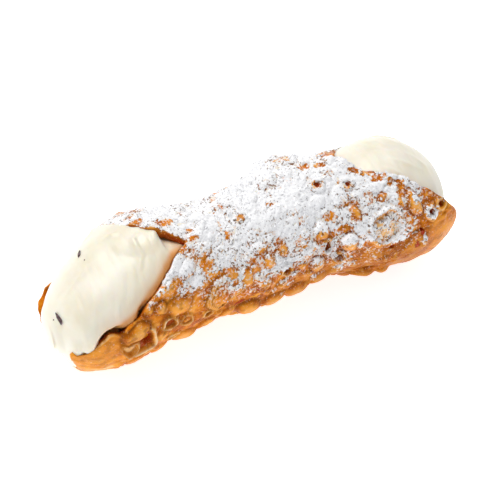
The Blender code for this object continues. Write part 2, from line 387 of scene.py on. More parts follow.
def raise_blisters(along, degrees):
    """Rise of the skin in mm, paleness and darkness for points of the sheet."""
    rise, pale, dark = np.zeros_like(along), np.zeros_like(along), np.zeros_like(along)
    arc = degrees * ARC
    blisters = small_blisters + list(LARGE_BLISTERS)
    for number, (kind, at, turn, length, width, lean, height) in enumerate(blisters):
        reach = 1.45 * max(length, width)
        # A blister belongs to one layer of the lap: the one whose degrees are nearest its own.
        middle = (turn + 90) * ARC
        near = np.flatnonzero((np.abs(along - at) < reach) & (np.abs(arc - middle) < reach))
        if not len(near):
            continue
        x, y = along[near] - at, arc[near] - middle
        c, s = math.cos(math.radians(lean)), math.sin(math.radians(lean))
        x, y = (c * x + s * y) / length, (c * y - s * x) / width
        angle = np.arctan2(y, x)
        # Each outline wobbles in its own way, so that no two blisters are alike.
        wobble = 1 + 0.07 * np.sin(3 * angle + number) + 0.05 * np.sin(5 * angle + 2.3 * number)
        out = np.hypot(x, y) * wobble
        if kind == "dish" and length > 4:  # the widest one collapsed, with nearly straight sides
            out = (np.abs(x) ** 3.5 + np.abs(y) ** 3.5) ** (1 / 3.5) * (1 + 0.04 * np.sin(3 * angle + number))
        up, light, shade = blister_profile(kind, out, height)
        if kind in ("pit", "valley"):
            rise[near] += up
        elif kind in ("dome", "ridge"):
            rise[near] = np.maximum(rise[near], up)
        else:
            hold = ease(1.25, 1.0, out)
            rise[near] = rise[near] * (1 - hold) + up
            dark[near] *= 1 - hold
            pale[near] *= 1 - hold
        covered = ease(1.1, 0.9, out) * (kind != "pit")
        pale[near] = np.maximum(pale[near] * (1 - 0.6 * covered), light)
        dark[near] = np.maximum(dark[near] * (1 - 0.8 * covered), shade)
    return rise, np.clip(pale, 0, 1), np.clip(dark, 0, 1)


dome_rise = blister_profile("dome", 0.5, 2.0)[0]
print("a dome 2 mm high is", round(float(dome_rise), 2), "mm high half way out")

# %% [markdown]
# ## The skin of the dough
#
# One function now says where the outside of the fried dough is for any grid of sheet shares, so the
# shell and the sugar on it agree. The edges are rounded over and a little ragged, as dough cut with a
# knife and fried is, and the whole sheet drifts a little in and out.


# %% Round and loosen the edges
SKIN_DROP = 0.2  # the blisters stand on the tube's measured radius less a little
CORNER = 9.0  # mm, the radius of the sheet's corners


def round_corners(u, v):
    """How far (mm) to draw a point in, along and round, so that the sheet's corners are round."""
    p = np.clip(1 - np.minimum(u, 1 - u) * SHEET_LENGTH / CORNER, 0, 1)
    q = np.clip(1 - np.minimum(v, 1 - v) * SHEET_GIRTH / CORNER, 0, 1)
    inward = CORNER * (1 - np.sqrt(1 - q * q / 2)) * p, CORNER * (1 - np.sqrt(1 - p * p / 2)) * q
    return inward[0] * np.sign(u - 0.5), inward[1] * np.sign(v - 0.5)


def loosen_edges(u, v):
    """The sheet's place with its cut edges let loose, and the distance in mm from the nearest edge."""
    along, degrees = lay_out(u, v)
    spot = wrap(along, degrees - 90, np.full_like(along, MEAN_RADIUS))
    from_edge = np.minimum(np.minimum(u, 1 - u) * SHEET_LENGTH, np.minimum(v, 1 - v) * SHEET_GIRTH)
    loose = np.exp(-from_edge / 5.0) * (1 - 0.8 * ease(46, 54, along))  # the right end is cut clean
    in_along, in_round = round_corners(u, v)
    # The near edge of the left scoop waves: a swell, then a notch where the flap begins.
    front = ease(0.86, 1.0, v)
    wave = 0.8 * bump_at(-55.0, 3.4, along) - 3.2 * bump_at(-50.2, 1.6, along)
    along = along + 0.9 * np.sign(along) * np.exp(-from_edge / 5.0) - in_along
    along = along + loose * (1.2 * drift(spot, 6.0, 1) + 0.5 * drift(spot, 2.2, 2))
    degrees = degrees + front * wave - in_round / ARC
    degrees = degrees + loose * (1.0 * drift(spot, 5.0, 3) + 0.4 * drift(spot, 2.0, 4)) / ARC
    # The flap stands on the scoop, which sinks a little behind its notch. It is pressed down at the seam.
    sink = 1.0 * ease(-49.6, -51.2, along) * ease(50, 75, degrees)
    pressed = 1.9 * ease(4.5, 0.2, (1 - v) * SHEET_GIRTH) * ease(150, 172, degrees)
    base = tube_radius(along, degrees - 90) + seam_step(degrees) - SKIN_DROP - sink - pressed
    return along, degrees, base + 0.8 * drift(spot, 9.0, 5), spot, from_edge


# %% Toast the skin and paint its light and shade
def scoop_share(along, degrees):
    """Up to 1 on the smooth foot of dough that runs out under the cream at each end, 0 elsewhere."""
    left = ease(-50.5, -54, along) * ease(120, 100, degrees)
    return np.maximum(left, 0.85 * ease(52, 58, along) * ease(112, 96, degrees))


def toast_and_shade_skin(v, along, degrees, spot, pale, dark):
    """How pale and how dark the dough is, added to what the blisters gave, and where its edge is painted
    shaded.
    """
    turn = degrees - 90
    on_front = turn > -90
    scoop = scoop_share(along, degrees)
    # Toast follows the fine relief: crests fried dry and pale, creases dark, partly as painted shade.
    tone = 0.8 * drift(spot, 2.4, 22) + 0.5 * drift(spot, 1.1, 7)
    pale = np.maximum(pale, 0.55 * ease(0.15, 0.55, tone))
    dark = np.maximum(dark, 0.42 * ease(-0.12, -0.5, tone) * (1 - 0.8 * scoop))
    dark = dark * (1 - 0.6 * ease(-14, -28, turn) * on_front)
    # Painted shade: darker low on the right, and darkest on the cut edge behind the left mouth.
    low_right_shade = ease(-15, 25, along) * ease(20, -10, turn)
    dark = np.maximum(dark, 0.27 * low_right_shade * (1 - scoop) * on_front)
    painted_edge_shade = ease(2.4, 0.6, v * SHEET_GIRTH) * ease(-46, -40, along) * (along < -15)
    dark = np.maximum(dark * (1 - 0.6 * scoop), painted_edge_shade * (0.68 + 0.3 * ease(-32, -22, along)))
    # The scoop is glossy: its lip and the streaks on its underside catch the light, painted as pale
    # highlights.
    side = (turn + 180) % 360 - 180
    streak = ease(0.0, 0.3, drift(spot * (0.3, 1, 1), 1.1, 23)) * ease(-8, -30, side) * (side > -80)
    streak = np.maximum(streak, ease(2.6, 0.6, (1 - v) * SHEET_GIRTH))
    pale = np.maximum(pale * (1 - 0.7 * scoop), scoop * (0.26 + 0.46 * streak))
    dark = np.maximum(dark, 0.22 * scoop * ease(0.05, 0.45, drift(spot, 2.6, 31)) * (1 - streak))
    # The underside of the left end is painted paler too, as a highlight.
    pale = np.maximum(pale, 0.6 * ease(-58, -62, along) * ease(30, -30, degrees))
    return pale, dark, painted_edge_shade


# %% The skin of the dough
def skin(u, v):
    """Outside of the dough for shares u, v: points in mm, and a table of what the finishes need."""
    along, degrees, base, spot, from_edge = loosen_edges(u, v)
    rise, pale, dark = raise_blisters(along, degrees)
    relief = (1 - 0.75 * scoop_share(along, degrees)) * (rise + 0.3 * drift(spot, 3.5, 6))
    relief = relief + 0.08 * drift(spot, 1.1, 7)
    lip = ease(1.3, 0.0, from_edge)
    pale, dark, painted_edge_shade = toast_and_shade_skin(v, along, degrees, spot, pale, dark)
    points = wrap(along, degrees - 90, base + relief - 0.5 * lip**2)
    points[:, 2] = np.maximum(points[:, 2], 0.0)
    turn = (degrees - 90 + 180) % 360 - 180
    told = {"along": along, "turn": turn, "spot": spot, "rise": rise}
    # The shade painted on the cut edge goes along, so that the sugar can leave it bare.
    told.update({"pale": pale, "dark": dark, "lip": lip, "deep": painted_edge_shade})
    return points, told


middle_of_sheet = skin(np.array([0.5]), np.array([0.5]))[0][0]
print("the middle of the sheet lies at, mm:", middle_of_sheet.round(1))

# %% [markdown]
# ## From points to pieces
#
# A grid operator makes the faces, and the script only says where its points go. The colours are not
# painted on but kept as numbers with each point, which the finish reads. A finished piece gets its
# shading and its finish, follows the body of the pastry, and names the food it is made of. Where it
# stands for a measured solid, it takes that solid's place.

# %% Grids and finished pieces
def sheet_mesh(name, cells, v_line):
    """A square grid of faces over the sheet, with the shares u, v of each point. A line spaces its rows."""
    bm = bmesh.new()
    bmesh.ops.create_grid(bm, x_segments=cells[0], y_segments=cells[1], size=1.0)
    mesh = bpy.data.meshes.new(name)
    bm.to_mesh(mesh)
    bm.free()
    flat = np.empty(len(mesh.vertices) * 3)
    mesh.vertices.foreach_get("co", flat)
    flat = flat.reshape(-1, 3) * 0.5 + 0.5
    return mesh, flat[:, 0], smooth_line(v_line, flat[:, 1])


def place_points(mesh, points):
    mesh.vertices.foreach_set("co", (points * MM).ravel())
    mesh.update()


def normals_of(mesh):
    flat = np.empty(len(mesh.vertices) * 3)
    mesh.vertex_normals.foreach_get("vector", flat)
    return flat.reshape(-1, 3)


def turn_outwards(mesh):
    """Flips the sheet if its faces look at the middle of the tube."""
    mesh.update()
    face = mesh.polygons[len(mesh.polygons) // 2]
    if face.normal.dot(face.center - Vector(TUBE_MIDDLE * MM) * Vector((0, 1, 1))) < 0:
        mesh.flip_normals()
        mesh.update()


def keep_colour(mesh, name, columns):
    """Stores up to four numbers for each point, which the finish reads by this name."""
    rgba = np.ones((len(mesh.vertices), 4), np.float32)
    for i, column in enumerate(columns):
        rgba[:, i] = column
    mesh.color_attributes.new(name, "FLOAT_COLOR", "POINT").data.foreach_set("color", rgba.ravel())


def finished_piece(name, mesh, material, solid, smooth=True):
    """Hangs a mesh on the frame with its finish, in place of a measured solid if it has one."""
    mesh.polygons.foreach_set("use_smooth", [smooth] * len(mesh.polygons))
    mesh.materials.append(material)
    piece = bpy.data.objects.new(name, mesh)
    bpy.context.scene.collection.objects.link(piece)
    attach(piece, "root")
    if solid:
        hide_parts(solid)
    triangles = sum(len(p.vertices) - 2 for p in mesh.polygons)
    print(f"{name}: {triangles} triangles")
    return piece


# %% [markdown]
# ## Finishes
#
# A finish is a small network of nodes. One function adds a node with its settings and its links, and
# another turns a hex colour, which is how paint and food colours are written down, into the linear
# light that the renderer counts in. Patterns read Object coordinates, so they stay put on the food,
# and the three numbers kept with each point of the dough say where it is pale, dark or dusted. Pale
# and dark carry painted highlights and painted shade as well as the toast.


# %% Tools for finishes
def linear(hex_colour):
    channels = [int(hex_colour[i : i + 2], 16) / 255 for i in (0, 2, 4)]
    return tuple(c / 12.92 if c <= 0.04045 else ((c + 0.055) / 1.055) ** 2.4 for c in channels) + (1.0,)


def new_finish(name):
    material = bpy.data.materials.new(name)
    material.use_nodes = True
    return material, material.node_tree.nodes["Principled BSDF"]


def node(material, kind, inputs=None, **settings):
    """Adds a node; an input is a plain value or another node's output."""
    made = material.node_tree.nodes.new(kind)
    for key, value in settings.items():
        setattr(made, key, value)
    feed(material, made, inputs or {})
    return made


def feed(material, made, inputs):
    for socket, value in inputs.items():
        if isinstance(value, bpy.types.NodeSocket):
            material.node_tree.links.new(value, made.inputs[socket])
        else:
            made.inputs[socket].default_value = value


def set_stops(ramp, stops):
    """Puts (place, hex colour) stops on a colour ramp."""
    elements = ramp.color_ramp.elements
    while len(elements) < len(stops):
        elements.new(0.5)
    for element, (place, colour) in zip(elements, stops):
        element.position = place
        element.color = linear(colour)


print("toasted gold d97b08 in linear light:", [round(c, 3) for c in linear("d97b08")[:3]])

# %% [markdown]
# ## Fried wine dough
#
# The shell is flour, lard and Marsala fried at about 180 degrees. It is a crust: matt with a thin film
# of oil on it, gold where the dough is thin and dry, red-brown where the toast is darker, and almost
# straw-coloured on the torn rims of blisters. A little light passes through it, which warms the folds.
# A noise about 7 mm wide gives the slow changes of toast, one of 1.6 mm the mottling, and the kept
# numbers paint rims and hollows. Their dark red-brown in hollows, round blister feet, low on the right
# and on the cut edges of the left mouth is painted shade, and the pale streaks of the scoops are
# painted highlights.


# %% Mix the fried dough
def sugar_grains(material, place, cover):
    """1 where a grain of sugar lies. Grains clump at about 0.8 mm, single ones would not show."""
    grain = node(material, "ShaderNodeTexNoise", {"Vector": place, "Scale": 1250.0, "Detail": 4.0,
                                                  "Roughness": 0.68})
    level = node(material, "ShaderNodeMath", {0: cover, 1: 0.38, 2: -0.19}, operation="MULTIPLY_ADD")
    total = node(material, "ShaderNodeMath", {0: grain.outputs[0], 1: level.outputs[0]}, operation="ADD")
    return node(material, "ShaderNodeMapRange", {0: total.outputs[0], 1: 0.45, 2: 0.53}).outputs[0]


def fried_dough():
    material, shader = new_finish("fried_wine_dough")
    place = node(material, "ShaderNodeTexCoord").outputs["Object"]
    kept = node(material, "ShaderNodeAttribute", attribute_name="skin")
    parts = node(material, "ShaderNodeSeparateColor", {0: kept.outputs["Color"]})
    pale, dark, cover = parts.outputs
    slow = node(material, "ShaderNodeTexNoise", {"Vector": place, "Scale": 150.0, "Detail": 3.0,
                                                 "Roughness": 0.6})
    mottle = node(material, "ShaderNodeTexNoise", {"Vector": place, "Scale": 620.0, "Detail": 4.0,
                                                   "Roughness": 0.65})
    blend = node(material, "ShaderNodeMath", {0: mottle.outputs[0], 1: 0.42, 2: -0.21},
                 operation="MULTIPLY_ADD")
    toast = node(material, "ShaderNodeMath", {0: slow.outputs[0], 1: blend.outputs[0]}, operation="ADD")
    gold = node(material, "ShaderNodeValToRGB", {0: toast.outputs[0]})
    set_stops(gold, ((0.28, "8a3f00"), (0.42, "bb5e02"), (0.54, "d97b08"), (0.70, "ee9c2c")))
    # Pale crests are golden and torn rims straw; on the scoops this pale is a painted highlight.
    golden = node(material, "ShaderNodeMapRange", {0: pale, 1: 0.0, 2: 0.55})
    torn = node(material, "ShaderNodeMapRange", {0: pale, 1: 0.55, 2: 1.0})
    # Dark is partly deeper toast and partly painted shade; the red-brown of holes and cut edges is painted
    # shade.
    crease_toast_and_shade = node(material, "ShaderNodeMapRange", {0: dark, 1: 0.0, 2: 0.6})
    hollow_shade = node(material, "ShaderNodeMapRange", {0: dark, 1: 0.55, 2: 1.0})
    # Specks of about 0.5 mm: dried egg wash and oil, and painted glints of light.
    speck = node(material, "ShaderNodeTexNoise", {"Vector": place, "Scale": 2100.0, "Detail": 1.0})
    specks = node(material, "ShaderNodeMapRange", {0: speck.outputs[0], 1: 0.62, 2: 0.72, 4: 0.4})
    # Between the grains of a thick layer the dough shows dull and grey-brown: a film of dust, and painted
    # shade in the pinholes.
    dust_film_and_shade = node(material, "ShaderNodeMapRange", {0: cover, 1: 0.52, 2: 0.8, 4: 0.85})
    # A lone grain has half melted into the oil, so it shows less white.
    grains = sugar_grains(material, place, cover)
    lone = node(material, "ShaderNodeMapRange", {0: cover, 1: 0.12, 2: 0.48, 3: 0.45, 4: 1.0})
    seen = node(material, "ShaderNodeMath", {0: grains, 1: lone.outputs[0]}, operation="MULTIPLY")
    # Each colour is laid over those before it, from the golden crests to the sugar on top.
    layers = (
        (golden, "eea23e"), (torn, "fadcaa"), (crease_toast_and_shade, "90500a"), (hollow_shade, "a4300a"),
        (specks, "f3b56a"), (dust_film_and_shade, "6f6156"), (seen, "efe4da"),
    )
    colour = gold.outputs[0]
    for share, tone in layers:
        mixed = node(material, "ShaderNodeMix", {0: share.outputs[0], 6: colour, 7: linear(tone)},
                     data_type="RGBA")
        colour = mixed.outputs[2]
    # The crust's own grain: pinholes and crumbs of 0.7 mm and less.
    crumb = node(material, "ShaderNodeTexNoise", {"Vector": place, "Scale": 1500.0, "Detail": 5.0,
                                                  "Roughness": 0.7})
    bump = node(material, "ShaderNodeBump", {"Height": crumb.outputs[0], "Strength": 0.35,
                                             "Distance": 0.0005})
    oil = node(material, "ShaderNodeMapRange", {0: slow.outputs[0], 1: 0.3, 2: 0.7, 3: 0.22, 4: 0.42})
    dry = node(material, "ShaderNodeMath", {0: oil.outputs[0], 1: grains}, operation="MAXIMUM")
    feed(material, shader, {
        "Base Color": colour,
        "Roughness": dry.outputs[0],
        "Normal": bump.outputs[0],
        "IOR": 1.36,
        "Specular IOR Level": 0.12,
        "Subsurface Weight": 0.15,
        "Subsurface Radius": (1.0, 0.40, 0.10),
        "Subsurface Scale": 0.0012,
    })
    return material


DOUGH = fried_dough()
print("finish:", DOUGH.name)

# %% [markdown]
# ## The shell
#
# The outside is a fine grid laid through the skin, with its rows close together where blisters crowd
# the front and top, and further apart underneath. The inside is a coarser grid one wall's thickness
# further in, since nobody sees it closely. Bridging the two open edges closes the sheet into one solid
# with a rounded rim. A Solidify modifier would be quicker to write, but it would copy every blister to
# the inside and double the triangles.

# %% Spread the outside and the inside
SHELL_CELLS = (296, 286)
LINING_CELLS = (90, 82)
ROWS = ((0, 0), (0.17, 0.27), (0.34, 0.55), (0.65, 0.76), (0.95, 0.965), (1, 1))  # closer where they show


def dough_layer(name, cells, inwards=0.0):
    mesh, u, v = sheet_mesh(name, cells, ROWS)
    points, told = lining(u, v, inwards) if inwards else skin(u, v)
    place_points(mesh, points)
    turn_outwards(mesh)
    return mesh, told


def lining(u, v, inwards):
    """The inside of the wall: the tube without its blisters, a wall's thickness further in."""
    along, degrees, base, _, from_edge = loosen_edges(u, v)
    points = wrap(along, degrees - 90, base - inwards + 0.35 * ease(1.4, 0.0, from_edge))
    points[:, 2] = np.maximum(points[:, 2], 0.9)
    # The rims of the left mouth are painted dark red-brown, as the shade in the gaps there.
    near_rim = ease(7, 0.5, (1 - v) * SHEET_GIRTH) * ease(-63, -59, along) * ease(-45, -49, along)
    far_rim = ease(7, 0.5, v * SHEET_GIRTH) * ease(-45, -41, along) * ease(-8, -14, along)
    painted_rim_shade = np.maximum(near_rim, 0.6 * far_rim)
    return points, {"pale": np.zeros_like(along), "dark": 0.12 + 0.88 * painted_rim_shade}


outside, told = dough_layer("outside", SHELL_CELLS)
inside, told_inside = dough_layer("inside", LINING_CELLS, WALL)
up = normals_of(outside)[:, 2]
print("outside points:", len(outside.vertices), "inside points:", len(inside.vertices))

# %% [markdown]
# ## Where the sugar falls
#
# The sugar was sifted from above. It lies where a surface looks up, thins out as the tube turns under,
# and misses the two feet of the shell. One function answers how much lies at a place, and both the
# layer of sugar and the faint dust painted on the dough ask it, so they fade into each other.


# %% Where the sugar falls
# (along mm, direction degrees) of the line below which hardly any sugar stuck
SUGAR_LINE = (
    (-66, 42), (-52, 36), (-44, 40), (-38, 36), (-32, 27), (-26, 21), (-20, 15), (-12, 10), (-4, 7),
    (4, 5), (14, 2), (22, -1), (30, 0), (38, 4), (46, 12), (52, 28), (58, 38), (66, 52),
)


def sugar_cover(told, up):
    """1 where sugar lies thick, 0 where half the dough shows through, -1 where it is bare."""
    along, turn, spot = told["along"], told["turn"], told["spot"]
    side = np.where(turn > 90, 180 - turn, turn)  # the back of the top fades as the front does
    above = side - smooth_line(SUGAR_LINE, along)
    cover = 0.85 * ease(-16, 18, above) + 0.34 * ease(10, 60, above) - 0.5 - 1.2 * ease(-14, -34, above)
    cover += 0.8 * (up - np.sin(np.radians(turn))) * ease(90, 30, side)
    cover += 0.65 * drift(spot, 6.5, 8) + 0.38 * drift(spot, 2.4, 9)
    for at, direction, length, width, bare in BARE_PLACES:
        across = (turn - direction) * ARC
        near = np.flatnonzero((np.abs(along - at) < 2 * length) & (np.abs(across) < 2 * width))
        out = np.hypot((along[near] - at) / length, across[near] / width)
        cover[near] -= bare * ease(1.4, 0.6, out + 0.9 * drift(spot[near], 1.0, 17))
    hollow = ease(0.3, 0.75, told["dark"])
    cover = cover - 0.6 * told["dark"] - 0.25 * told["lip"]
    # Even a bare place has caught some dust, unless it is in a hole.
    dust = 0.38 * ease(-26, 6, above) - 0.83
    cover = np.maximum(cover, dust) - 2.0 * hollow * (told["rise"] < 0)
    # No sugar lies on the cut edge that is painted in shade.
    return np.clip(cover - 1.6 * told["deep"], -1, 1)


cover = sugar_cover(told, up)
keep_colour(outside, "skin", (told["pale"], told["dark"], 0.5 + 0.5 * cover))
keep_colour(inside, "skin", (told_inside["pale"], told_inside["dark"], np.zeros(len(inside.vertices))))
print("share of the outside that is dusted:", round(float((cover > 0).mean()), 2))


# %% Close the shell
def close_shell(outside, inside):
    inside.flip_normals()
    bm = bmesh.new()
    bm.from_mesh(outside)
    bm.from_mesh(inside)
    rims = [edge for edge in bm.edges if edge.is_boundary]
    bmesh.ops.bridge_loops(bm, edges=rims)
    bmesh.ops.recalc_face_normals(bm, faces=bm.faces[:])
    if bm.calc_volume(signed=True) < 0:
        bmesh.ops.reverse_faces(bm, faces=bm.faces[:])
    left_open = sum(edge.is_boundary for edge in bm.edges)
    mesh = bpy.data.meshes.new("blistered_shell")
    bm.to_mesh(mesh)
    bm.free()
    print("open edges left:", left_open)
    return mesh


finished_piece("blistered_shell", close_shell(outside, inside), DOUGH, "shell")

# %% [markdown]
# ## Ricotta cream
#
# The filling is sheep's ricotta beaten with sugar: dense, moist and smooth enough to take the marks of
# the spatula. It is opaque but not hard-edged, because light enters it and comes back warm, so it needs
# real scattering, a soft sheen and only a faint grain.


# %% Mix the cream
def ricotta_cream():
    material, shader = new_finish("whipped_ricotta_cream")
    place = node(material, "ShaderNodeTexCoord").outputs["Object"]
    cloud = node(material, "ShaderNodeTexNoise", {"Vector": place, "Scale": 90.0, "Detail": 3.0,
                                                  "Roughness": 0.5})
    tint = node(material, "ShaderNodeValToRGB", {0: cloud.outputs[0]})
    set_stops(tint, ((0.30, "e7dfc9"), (0.50, "ece6d4"), (0.72, "f1ecde")))
    # Curd grains of about 1 mm and the faint drag of the spatula.
    curd = node(material, "ShaderNodeTexNoise", {"Vector": place, "Scale": 900.0, "Detail": 3.0,
                                                 "Roughness": 0.55})
    drag_place = node(material, "ShaderNodeMapping", {"Vector": place, "Scale": (1.0, 0.35, 0.25)})
    drag = node(material, "ShaderNodeTexNoise", {"Vector": drag_place.outputs[0], "Scale": 420.0,
                                                 "Detail": 3.0})
    grain = node(material, "ShaderNodeBump", {"Height": curd.outputs[0], "Strength": 0.12,
                                              "Distance": 0.0004})
    swept = node(material, "ShaderNodeBump", {"Height": drag.outputs[0], "Strength": 0.22, "Distance": 0.0007,
                                              "Normal": grain.outputs[0]})
    wet = node(material, "ShaderNodeMapRange", {0: cloud.outputs[0], 1: 0.3, 2: 0.7, 3: 0.28, 4: 0.46})
    # Where it meets the fried dough it is painted caramel: the warm light the dough bounces onto it, and
    # shade.
    kept = node(material, "ShaderNodeAttribute", attribute_name="painted_bounce")
    bounce_share = node(material, "ShaderNodeSeparateColor", {0: kept.outputs["Color"]}).outputs[0]
    bounce_tinted = node(material, "ShaderNodeMix", {0: bounce_share, 6: tint.outputs[0], 7: linear("d98a18")},
                   data_type="RGBA")
    feed(material, shader, {
        "Base Color": bounce_tinted.outputs[2],
        "Roughness": wet.outputs[0],
        "Normal": swept.outputs[0],
        "IOR": 1.42,
        "Subsurface Weight": 0.5,
        "Subsurface Radius": (1.0, 0.72, 0.42),
        "Subsurface Scale": 0.0016,
    })
    return material


CREAM = ricotta_cream()
print("finish:", CREAM.name)

# %% [markdown]
# ## The cream in the shell
#
# The cream is one body that runs from mouth to mouth. It starts as a ball, whose rings are spread along
# the tube; each ring is a circle between two lines, down its top and down its foot. Under the dough
# it is held in by the wall. At the left mouth it laps over the far edge of the dough, and low on the
# near edge it has shrunk back. On top of that come the marks of the spatula: shallow ridges and
# furrows, soft waves, and a tear where the tool lifted off.

# %% Draw the cream
# (along mm, radius mm) down the back of the top, then down the front of the foot
CREAM_TOP = (
    (-69.6, -4), (-69, -1.5), (-66.8, 2.5), (-62, 8.4), (-57, 12.4), (-52, 15.9), (-47, 18.0),
    (-42, 19.9), (-37, 20.9), (-33, 20.8), (-30, 20.2), (-24, 19.8), (-18, 17), (24, 15.8), (30, 16.6),
    (36, 18.8), (42, 20.3), (48, 20.8), (54, 19.4), (59, 16.7), (63, 13.1), (66.2, 8.2), (67.7, 3.2),
    (68.2, 0),
)
CREAM_FOOT = (
    (-69.6, 4), (-69.4, 8.3), (-68.3, 12.0), (-65.6, 15.8), (-61, 18.6), (-50, 17.0), (-30, 15.6),
    (24, 15.8), (40, 17.6), (50, 18.4), (57, 17.4), (62, 14.2), (66, 9.2), (67.7, 3.5), (68.2, 0),
)
CREAM_CELLS = (280, 220)
print("cream from", CREAM_TOP[0][0], "to", CREAM_TOP[-1][0], "mm along the tube")


def cut_edge(v, smoothing):
    """Where the loosened front (v 1) or back (v 0) edge of the dough runs, averaged over a few mm."""
    along, degrees = loosen_edges(np.linspace(0, 1, 500), np.full(500, float(v)))[:2]
    order = np.argsort(along)
    padded = np.pad(degrees[order], smoothing, mode="edge")
    return along[order], np.convolve(padded, np.ones(2 * smoothing + 1) / (2 * smoothing + 1), mode="valid")


# Cream bridges the small waves of the dough's edge, which leaves pockets under them.
NEAR_RIM, FAR_RIM = cut_edge(1, 14), cut_edge(0, 6)


def into_mouth(along, turn):
    """Degrees that a direction lies inside the bare mouth, and 0 on its near side to 1 on its far."""
    front = np.interp(along, *NEAR_RIM) - 90
    back = np.interp(along, *FAR_RIM) + 270
    off = (turn - (back + front) / 2 + 180) % 360 - 180
    return (back - front) / 2 - np.abs(off), ease(-9, 9, off)


def cream_surface(along, turn):
    """Place along, direction and radius of the surface, degrees into the mouth, and its painted warm bounce.
    """
    top, foot = smooth_line(CREAM_TOP, along), smooth_line(CREAM_FOOT, along)
    ring, shift = (top + foot) / 2, (top - foot) / 2
    angle, lean = np.radians(turn), math.radians(FOOT_DIRECTION + 180)
    forward = ring * np.cos(angle) + shift * math.cos(lean)
    height = ring * np.sin(angle) + shift * math.sin(lean)
    radius, turn = np.hypot(forward, height), np.degrees(np.arctan2(height, forward))
    mouth, far = into_mouth(along, turn)
    tube = tube_radius(along, turn)
    # Two layers of dough press on it along the top, and one below and at the left foot.
    two_layers = ease(-0.4, 0.1, np.sin(np.radians(turn))) * ease(-62, -56, along)
    inner = tube - SKIN_DROP - WALL - 0.2 - (SEAM_STEP + 0.2) * two_layers
    inside = (along > -66.4) & (along < 62.5)
    # The left mouth: filled flush with the near edge, lapping over the far edge as far as the tear.
    torn = ease(-31.0, -30.2, along)
    near_hold = ease(-1.6, 0.2, mouth) * ease(-66.2, -61, along)
    far_hold = ease(-4.5, -1.5, mouth) * ease(-50, -44, along) * (1 - torn) + ease(-1.0, 1.0, mouth) * torn
    drop = (3.3 + 1.7 * ease(-31, -25, along)) * torn * far
    hollow = 0.1 * ease(8, 0, mouth) + 0.3 * ease(-48, -56, along)
    flush = tube - 0.7 - drop - (1 - far) * hollow
    fill = ease(72, 16, mouth) * (near_hold * (1 - far) + far_hold * far)
    held = np.where(mouth < -1, inner, np.minimum(inner + 3.3, tube))
    left = np.minimum(radius, held) + fill * np.maximum(flush - np.minimum(radius, held), 0)
    # It sits well down on the floor of the scoop.
    seated = ease(-66.6, -64.0, along) * ease(-115, -85, turn) * ease(26, -8, mouth)
    seated = seated * (1 - far) * (along < -50)
    left += seated * np.maximum(inner + 0.8 * ease(-61.5, -63.5, along) - left, 0)
    # Low on the near edge it has drawn back, which leaves a dark gap.
    gap = 4.4 * bump_at(-54.0, 3.3, along) + 1.5 * bump_at(-43.2, 2.2, along)
    left -= gap * ease(8, 2, mouth) * (1 - far)
    # The right mouth: a full dome.
    right = np.minimum(radius, inner + 2.9 * ease(-2.0, 2.0, mouth) + 0.55 * np.maximum(mouth, 0))
    radius = np.where(inside, np.where(along < 0, left, right), radius)
    # At the left mouth, near the front edge and below the tear, caramel is painted on as bounced light and
    # shade.
    painted_bounce = 0.3 * ease(24, 5, mouth) + 0.7 * ease(11.5, 4.5, mouth) ** 1.3
    painted_bounce *= (1 - far) * ease(-62, -54, along) * (along < 0)
    return along, turn, radius, mouth, painted_bounce + 0.5 * torn * far * ease(8, 0, mouth) * (along < 0)


# From along mm, direction degrees, to along mm, direction degrees, then width mm and height mm
SPATULA_MARKS = (
    (-54.1, 84, -63.8, 57, 0.9, 0.3), (-36.5, 87, -38.9, 83, 0.4, 0.34),
    (-38.9, 84, -38.2, 66, 0.45, 0.6), (-38.4, 68, -40.6, 55, 0.45, 0.55),
    (-46.9, 103, -41.2, 98, 0.8, 0.3), (-40.6, 62, -42.4, 46, 0.4, -0.25),
    (-35.4, 72, -39.7, 42, 0.4, 0.16), (-33.9, 68, -36.3, 50, 0.4, -0.16),
    (-32.6, 84, -32.4, 62, 0.5, 0.18), (-44.4, 56, -47.8, 32, 0.5, -0.22),
    (-43.4, 47, -45.2, 33, 0.45, 0.22), (-49, 40, -51.6, 20, 0.6, 0.25), (-56, 34, -58, 12, 0.6, -0.2),
    (48, 84, 57, 66, 1.0, 0.4), (44, 104, 53, 92, 0.9, -0.3), (55, 88, 60, 70, 0.8, 0.35),
    (46, 76, 50, 62, 0.8, 0.3), (50, 130, 58, 118, 0.9, 0.4), (-50, 128, -44, 140, 0.8, 0.3),
)


def spatula_marks(along, turn):
    """Rise in mm of the ridges and furrows that a spatula leaves, and the tear where it lifted off."""
    rise = np.zeros_like(along)
    arc = turn * ARC
    for start, start_turn, end, end_turn, width, height in SPATULA_MARKS:
        dx, dy = end - start, (end_turn - start_turn) * ARC
        share = np.clip(((along - start) * dx + (arc - start_turn * ARC) * dy) / (dx * dx + dy * dy), 0, 1)
        away = np.hypot(along - start - share * dx, arc - start_turn * ARC - share * dy)
        rise += 1.4 * height * bump_at(0, width, away) * (0.4 + 2.4 * share * (1 - share))
    # Right of the tear the cream lies lower, and its lip stands up.
    over = along - (-30.6 - 0.12 * (90 - turn))
    near_tear = ease(62, 80, turn) * ease(125, 110, turn) * (along < -15)
    rise -= 0.8 * ease(-0.3, 0.6, over) * near_tear
    return rise + 0.5 * bump_at(-0.7, 0.7, over) * near_tear


